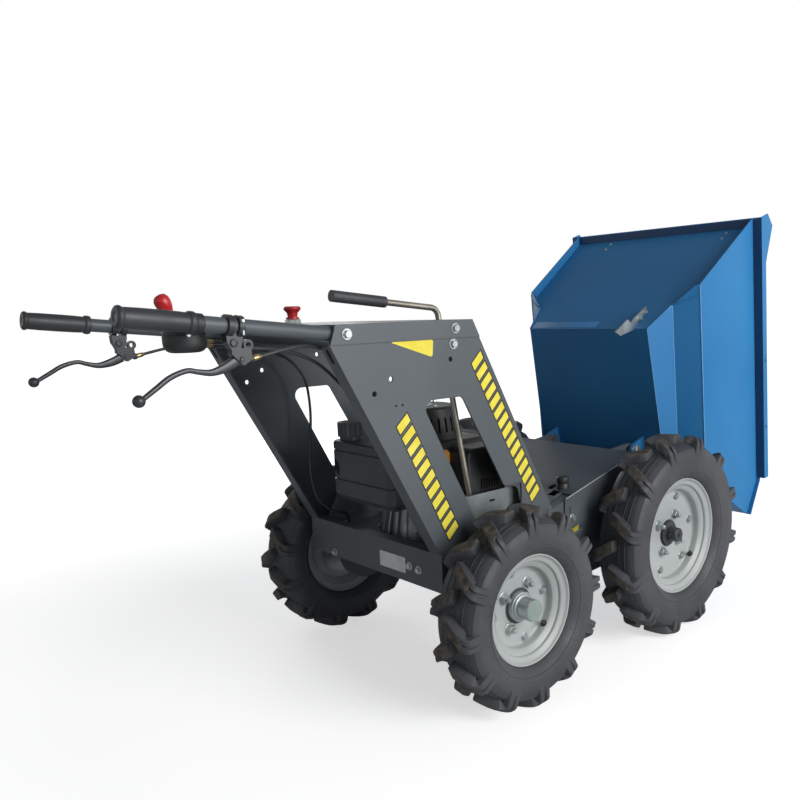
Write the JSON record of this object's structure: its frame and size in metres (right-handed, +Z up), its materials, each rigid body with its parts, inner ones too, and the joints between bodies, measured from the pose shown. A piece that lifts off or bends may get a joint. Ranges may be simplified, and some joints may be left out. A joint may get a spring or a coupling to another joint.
{
  "type": "walk-behind mini dumper",
  "caption": "Walk-behind site dumper with a blue forward-tipping tub, grey folded-plate frame, vertical-shaft engine and chain-driven wheels on lugged tyres",
  "frame": {"origin": "centre of the bounding box in X and Y, at the ground under the wheels", "axes": "+X points to the tub, the front in normal travel, +Y to the left, +Z up"},
  "size_m": [1.778, 0.762, 1.0367],
  "materials": {
    "tub_blue": "gloss blue powder coat",
    "frame_grey": "satin dark grey powder coat",
    "handle_black": "satin black powder coat",
    "rim_silver": "silver wheel paint",
    "tyre_black": "ribbed traction tyre rubber",
    "zinc_plate": "bright zinc plating",
    "dark_steel": "heat-resistant dark paint",
    "cast_grey": "as-cast and machined grey",
    "black_plastic": "moulded black with a fine grain",
    "rubber_black": "moulded rubber",
    "lever_steel": "black coated steel",
    "red_plastic": "glossy red",
    "cable_black": "sheathed control cable"
  },
  "bodies": {
    "chassis": {"air_filter": "black_plastic", "belly_pan": "frame_grey", "chain_cases": "frame_grey", "chassis_rails": "frame_grey", "control_cables": "cable_black", "deck": "frame_grey", "deck_buffers": "rubber_black", "emergency_stop": "red_plastic", "engine_bed": "zinc_plate", "engine_block": "cast_grey", "engine_shroud": "black_plastic", "front_axle_tube": "frame_grey", "fuel_tank": "black_plastic", "gearbox": "cast_grey", "hand_grips": "rubber_black", "hand_levers": "lever_steel", "handle_tubes": "handle_black", "hinge_brackets": "frame_grey", "lever_brackets": "handle_black", "muffler": "dark_steel", "rear_axle_tube": "frame_grey", "rear_channel": "frame_grey", "recoil_starter": "black_plastic", "shift_grip": "rubber_black", "shift_rod": "zinc_plate", "side_plate_left": "frame_grey", "side_plate_right": "frame_grey", "throttle_control": "black_plastic", "top_cover": "frame_grey"},
    "tub": {"tub_hinge_ears": "tub_blue", "tub_latch": "zinc_plate", "tub_rim": "tub_blue", "tub_shell": "tub_blue"},
    "rear_left_wheel": {"rear_left_tyre": "tyre_black", "rear_left_rim": "rim_silver", "rear_left_hub": "zinc_plate"},
    "rear_right_wheel": {"rear_right_tyre": "tyre_black", "rear_right_rim": "rim_silver", "rear_right_hub": "zinc_plate"},
    "front_left_wheel": {"front_left_tyre": "tyre_black", "front_left_rim": "rim_silver", "front_left_hub": "zinc_plate"},
    "front_right_wheel": {"front_right_tyre": "tyre_black", "front_right_rim": "rim_silver", "front_right_hub": "zinc_plate"}
  },
  "joints": [
    {"name": "tub_tip", "type": "hinge", "parent": "chassis", "child": "tub", "pos_m": [0.47537, 0, 0.42005], "axis": [0, 1, 0], "range_deg": [-87, 0]},
    {"name": "rear_left_axle", "type": "hinge", "parent": "chassis", "child": "rear_left_wheel", "pos_m": [-0.16463, 0.325, 0.208], "axis": [0, 1, 0], "continuous": true},
    {"name": "rear_right_axle", "type": "hinge", "parent": "chassis", "child": "rear_right_wheel", "pos_m": [-0.16463, -0.325, 0.208], "axis": [0, 1, 0], "continuous": true},
    {"name": "front_left_axle", "type": "hinge", "parent": "chassis", "child": "front_left_wheel", "pos_m": [0.37737, 0.325, 0.246], "axis": [0, 1, 0], "continuous": true},
    {"name": "front_right_axle", "type": "hinge", "parent": "chassis", "child": "front_right_wheel", "pos_m": [0.37737, -0.325, 0.246], "axis": [0, 1, 0], "continuous": true}
  ]
}
